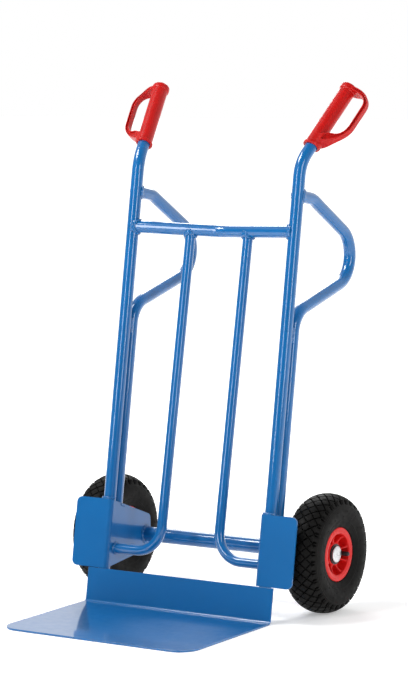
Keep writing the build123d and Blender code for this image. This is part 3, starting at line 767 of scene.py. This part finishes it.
def grip_distance(points):
    """Sleeve, cap, collar and channelled guard, in millimetres out, behind and along the grip."""
    out, behind, along = points.T
    r = np.hypot(out, behind)
    sleeve = np.maximum(r - SLEEVE_R, np.abs(along - GRIP_LENGTH / 2) - GRIP_LENGTH / 2)
    cap = smooth_max(r - COLLAR_R, np.abs(along - CAP_MIDDLE) - CAP_HALF, 3.5)
    from_collar = np.abs(along - COLLAR_MIDDLE - COLLAR_SLANT * out)
    collar = smooth_max(r - COLLAR_R, from_collar - COLLAR_HALF, 1.8)
    route = guard_route()
    off = np.full(out.shape, 1e9)
    for a, b in zip(route, route[1:]):
        step = b - a
        t = np.clip(((out - a[0]) * step[0] + (along - a[1]) * step[1]) / (step @ step), 0, 1)
        off = np.minimum(off, np.hypot(out - a[0] - t * step[0], along - a[1] - t * step[1]))
    taper = np.clip((out - 15) / 36, 0, 1)
    half_width = ARM_HALF_W + (GUARD_HALF_W - ARM_HALF_W) * taper * taper * (3 - 2 * taper)
    gusset = np.clip((58 - out) / 34, 0, 1) * np.clip((60 - along) / 20, 0, 1)
    thick = GUARD_THICK / 2 + 4.2 * gusset * gusset * (3 - 2 * gusset)
    guard = smooth_max(off - thick, np.abs(behind) - half_width, 1.4)
    guard = np.maximum(guard, -out)
    channel = smooth_max(off - (thick - CHANNEL_WALL),
                         half_width - CHANNEL_DEPTH - np.abs(behind), 1.0)
    channel = smooth_max(channel, CHANNEL_FROM - out, 2.0)
    guard = smooth_max(guard, -channel, 0.9)
    shape = smooth_min(sleeve, guard, 3.0)
    shape = smooth_min(shape, cap, 1.2)
    shape = smooth_min(shape, collar, 1.2)
    bore = np.maximum(r - TUBE_R - 0.1, along - TUBE_DEPTH - 0.2)
    shape = np.maximum(shape, -0.5 - along)
    return np.maximum(shape, -bore)


def make_grips():
    """Grips pushed over the ends of the side tubes."""
    step = 1.0
    points, faces = moulded(grip_distance, (-21, -21, -3), (69, 21, 184), step)
    foot, guard, behind, along = grip_axes()
    points = points @ np.array([guard, behind, along]) * MM + np.array(foot)
    for side, sign in SIDES.items():
        new_piece(f"moulded_grip_{side}", points * np.array([sign, 1, 1]),
                  [face[::sign] for face in faces], RED_GRIP, "frame", "red_plastic",
                  f"grip_{side}")


make_grips()


# ---- sheet parts with softened edges ----
SHEET_EDGE = 0.8 * MM
FLAT_ANGLE = math.radians(0.6)
EDGE_ANGLE = math.radians(50)


def make_sheet_part(node):
    """Folded sheet whose cut edges are rounded over by the coating."""
    piece = cad_copy(node, f"coated_{node}")
    edit_mesh(piece, lambda cells: bmesh.ops.dissolve_limit(
        cells, angle_limit=FLAT_ANGLE, verts=cells.verts, edges=cells.edges))
    dressed(piece, BLUE, "frame", "blue_paint", node)
    bevel = piece.modifiers.new("edge", "BEVEL")
    bevel.width = SHEET_EDGE
    bevel.segments = 3
    bevel.limit_method = "ANGLE"
    bevel.angle_limit = EDGE_ANGLE
    flat = piece.modifiers.new("flat", "WEIGHTED_NORMAL")
    flat.mode = "FACE_AREA"
    flat.weight = 100
    flat.keep_sharp = False
    apply_modifiers(piece)


for sheet_node in ("toe_plate", "side_bracket_left", "side_bracket_right"):
    make_sheet_part(sheet_node)


# ---- weld beads ----
WELD_CELL = 0.8 * MM
WELD_RIPPLE = 0.22               # lumps to the millimetre
WELD_HEIGHT = 1.1 * MM


def make_weld(node):
    """Lumpy bead: a finer copy of the CAD bead, swollen and dented along its run."""
    piece = cad_copy(node, f"bead_{node}")
    remesh = piece.modifiers.new("fine", "REMESH")
    remesh.mode = "VOXEL"
    remesh.voxel_size = WELD_CELL
    soft = piece.modifiers.new("soft", "SMOOTH")
    soft.iterations = 3
    apply_modifiers(piece)
    for vertex in piece.data.vertices:
        spot = Vector((abs(vertex.co.x), vertex.co.y, vertex.co.z)) * (WELD_RIPPLE / MM)
        swell = noise.noise(spot) + 0.5 * noise.noise(spot * 2.3)
        vertex.co += vertex.normal * (WELD_HEIGHT * (0.35 + swell))
    dressed(piece, WELD_BLUE, "frame", "weld_paint", node)


for weld_node in sorted(frame["nodes"]):
    if weld_node.startswith("weld_"):
        make_weld(weld_node)


# ---- CAD nodes that stay ----
def coat_cad():
    """Materials for the CAD nodes that show as they are."""
    by_stem = {"side_tube": BLUE, "rear_loop": BLUE, "crossbar": BLUE, "inner_tube": BLUE,
               "axle_tube": BLUE, "stub_axle": ZINC, "washer": ZINC, "bush": BLACK_PLASTIC,
               "valve": BLACK_RUBBER, "air_tube": BLACK_RUBBER}
    for name, node in frame["nodes"].items():
        if node.hide_render:
            continue
        stem = next(s for s in by_stem if name.startswith(s))
        for coat in node.material_slots:
            coat.material = by_stem[stem]


coat_cad()


# ---- floor, light and surroundings ----
FLOOR_REACH = 30.0
FLOOR_DROP = 0.4 * MM
GLOW_FROM, GLOW_TO = 0.9, 3.0    # the floor's own glow rises between these distances
GLOW_NEAR, GLOW_FAR = 0.33, 0.9
AIM_HEIGHT = 0.55
# Name, level direction, distance, height, width and height of the lamp, power in watts.
SOFTBOXES = (("front_left", (-0.24, -0.97), 3.6, 2.0, (0.6, 2.2), 52),
             ("front_right", (0.93, -0.37), 3.6, 1.7, (0.8, 2.0), 44),
             ("overhead", (-0.54, -0.39), 1.9, 3.2, (1.2, 0.9), 80),
             ("behind", (-0.50, 0.86), 2.7, 2.1, (1.4, 0.9), 30))


def make_floor():
    """Pale floor under the truck that fades to white with distance."""
    floor = bpy.data.objects.new("floor", bpy.data.meshes.new("floor"))
    corners = [(x * FLOOR_REACH, y * FLOOR_REACH, 0) for x, y in ((-1, -1), (1, -1), (1, 1), (-1, 1))]
    floor.data.from_pydata(corners, [], [(0, 1, 2, 3)])
    floor.location.z = -FLOOR_DROP
    material, tree, principled, place = shader("pale_floor")
    principled.inputs["Base Color"].default_value = (0.93, 0.93, 0.93, 1)
    principled.inputs["Roughness"].default_value = 0.9
    principled.inputs["Specular IOR Level"].default_value = 0.1
    principled.inputs["Emission Color"].default_value = (1, 1, 1, 1)
    span = tree.nodes.new("ShaderNodeVectorMath")
    span.operation = "LENGTH"
    tree.links.new(place, span.inputs[0])
    fade = tree.nodes.new("ShaderNodeMapRange")
    fade.inputs["From Min"].default_value = GLOW_FROM
    fade.inputs["From Max"].default_value = GLOW_TO
    fade.inputs["To Min"].default_value = GLOW_NEAR
    fade.inputs["To Max"].default_value = GLOW_FAR
    tree.links.new(span.outputs["Value"], fade.inputs["Value"])
    tree.links.new(fade.outputs["Result"], principled.inputs["Emission Strength"])
    floor.data.materials.append(material)
    bpy.context.scene.collection.objects.link(floor)


def add_softbox(name, direction, distance, height, size, power):
    """Rectangular lamp that faces the middle of the truck from a level direction."""
    lamp = bpy.data.lights.new(name, "AREA")
    lamp.shape = "RECTANGLE"
    lamp.size, lamp.size_y = size
    lamp.energy = power
    holder = bpy.data.objects.new(name, lamp)
    spot = Vector((direction[0], direction[1], 0)).normalized() * distance
    spot.z = height
    holder.location = spot
    aim = Vector((0, 0, AIM_HEIGHT)) - spot
    holder.rotation_euler = aim.to_track_quat("-Z", "Y").to_euler()
    bpy.context.scene.collection.objects.link(holder)


def make_surroundings():
    """White backdrop for the camera, and a room that is bright behind and dim in front."""
    world = bpy.data.worlds.new("studio")
    bpy.context.scene.world = world
    world.use_nodes = True
    tree = world.node_tree
    seen = tree.nodes["Background"]
    seen.inputs["Color"].default_value = (1, 1, 1, 1)
    seen.inputs["Strength"].default_value = 1.0
    room = tree.nodes.new("ShaderNodeBackground")
    direction = tree.nodes.new("ShaderNodeTexCoord").outputs["Generated"]
    parts = tree.nodes.new("ShaderNodeSeparateXYZ")
    tree.links.new(direction, parts.inputs["Vector"])
    depth = tree.nodes.new("ShaderNodeMath")
    depth.operation = "MULTIPLY_ADD"
    depth.inputs[1].default_value = 0.5
    depth.inputs[2].default_value = 0.5
    tree.links.new(parts.outputs["Y"], depth.inputs[0])
    glow = ramp_node(tree, depth.outputs["Value"],
                     [(0.0, 0.05), (0.30, 0.07), (0.55, 0.38), (0.9, 1.0)])
    tree.links.new(glow, room.inputs["Color"])
    ray = tree.nodes.new("ShaderNodeLightPath")
    mix = tree.nodes.new("ShaderNodeMixShader")
    tree.links.new(ray.outputs["Is Camera Ray"], mix.inputs["Fac"])
    tree.links.new(room.outputs["Background"], mix.inputs[1])
    tree.links.new(seen.outputs["Background"], mix.inputs[2])
    tree.links.new(mix.outputs["Shader"], tree.nodes["World Output"].inputs["Surface"])
    bpy.context.scene.view_settings.view_transform = "Standard"


make_floor()
make_surroundings()
for softbox in SOFTBOXES:
    add_softbox(*softbox)
